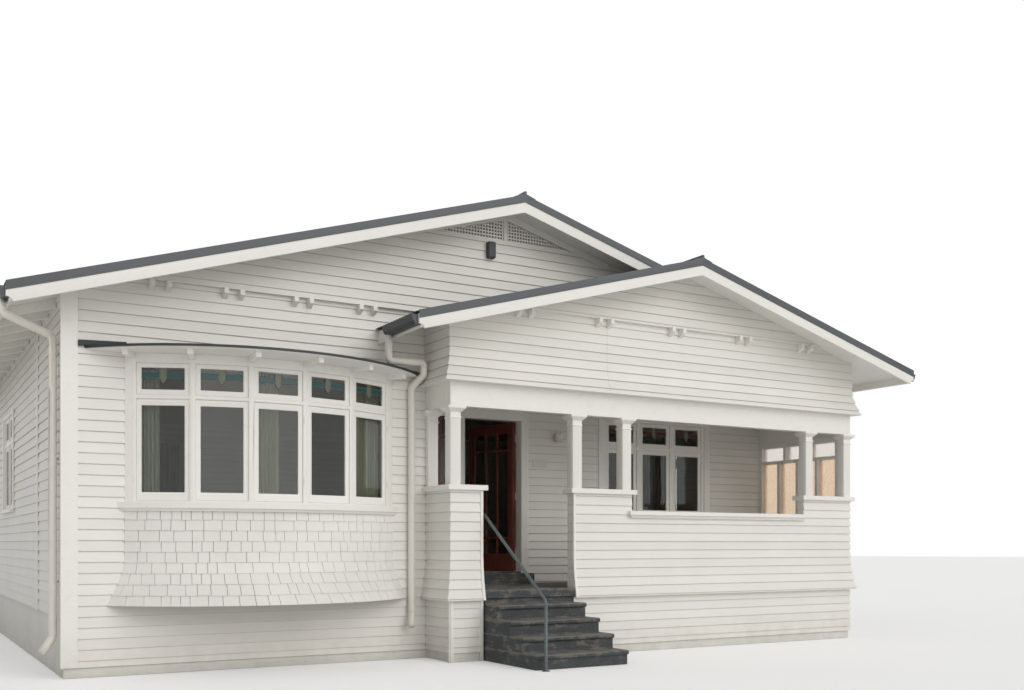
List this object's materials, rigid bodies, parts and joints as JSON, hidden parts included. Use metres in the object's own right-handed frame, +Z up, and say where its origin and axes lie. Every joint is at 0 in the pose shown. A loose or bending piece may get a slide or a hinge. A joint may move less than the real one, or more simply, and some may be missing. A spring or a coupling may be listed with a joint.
{
  "type": "bungalow",
  "caption": "Single-storey weatherboard bungalow with low twin front gables, a shingled bow window, a pillared corner porch with steps and an opening front door.",
  "frame": {"origin": "centre of the footprint's bounding box, on the ground", "axes": "+X to the right along the front, +Y towards the back, +Z up"},
  "size_m": [12.459, 11.9509, 5.818],
  "materials": {
    "bare_plate": "plain cream paint",
    "black_box": "matt black plastic",
    "brass_knobs": "aged brass",
    "clear_glass": "clear window glass",
    "cream_pipe": "cream painted pipe",
    "floor_boards": "varnished floor boards",
    "grey_concrete": "worn slate-grey paint on concrete",
    "grey_rail": "dark grey painted pipe",
    "gutter_steel": "dark grey painted folded steel",
    "lamp_glass": "opal glass",
    "obscure_glass": "patterned obscure glass",
    "peach_glass": "patterned peach glass",
    "plaster_ceiling": "matt white plaster board",
    "red_joinery": "red-brown gloss paint",
    "render": "painted smooth cement render",
    "roof_steel": "dark blue-grey painted corrugated steel",
    "white_boards": "satin warm white paint on weatherboards",
    "white_shingles": "satin warm white paint on shingles",
    "white_trim": "satin warm white paint on planed boards"
  },
  "bodies": {
    "house": {"back_wall": "white_boards", "balustrade_caps": "white_trim", "balustrade_left": "white_boards", "balustrade_middle": "white_boards", "balustrade_right": "white_boards", "barge_boards": "white_trim", "bow_apron": "white_shingles", "bow_hood": "roof_steel", "bow_hood_soffit": "white_trim", "bow_sill": "white_trim", "bow_window_frame": "white_trim", "bow_window_glass": "clear_glass", "bow_window_sashes": "white_trim", "corner_boards": "white_trim", "door_frame": "white_trim", "door_plate": "bare_plate", "downpipes": "cream_pipe", "eave_rafters": "white_trim", "entry_steps": "grey_concrete", "foundation": "render", "front_gable_panel": "white_boards", "front_wall": "white_boards", "gable_brackets": "white_trim", "gable_vents": "white_trim", "gutters": "gutter_steel", "handrail": "grey_rail", "house_ceiling": "plaster_ceiling", "house_floor": "floor_boards", "left_wall": "white_boards", "porch_beam": "white_trim", "porch_ceiling": "white_trim", "porch_floor": "grey_concrete", "porch_gable_wall": "white_boards", "porch_posts": "white_trim", "porch_wall_left": "white_boards", "porch_wall_over_door": "white_boards", "porch_wall_right": "white_boards", "porch_window_frame": "white_trim", "porch_window_glass": "clear_glass", "porch_window_sashes": "white_trim", "right_wall": "white_boards", "roof_cappings": "roof_steel", "roof_left": "roof_steel", "roof_porch": "roof_steel", "roof_right": "roof_steel", "room_return_wall": "white_boards", "service_box": "black_box", "side_screen_frame": "white_trim", "side_screen_glass": "peach_glass", "side_window_frames": "white_trim", "side_window_glass": "clear_glass", "sidelight_glass": "obscure_glass", "sidelight_sash": "red_joinery", "soffit_left": "white_trim", "soffit_porch": "white_trim", "soffit_right": "white_trim", "wall_lamp": "lamp_glass"},
    "door": {"front_door": "red_joinery", "front_door_glass": "clear_glass", "front_door_knobs": "brass_knobs"}
  },
  "joints": [
    {"name": "front_door_hinge", "type": "hinge", "parent": "house", "child": "door", "pos_m": [0.69, -2.6965, 1], "axis": [0, 0, 1], "range_deg": [-15, 75]}
  ]
}
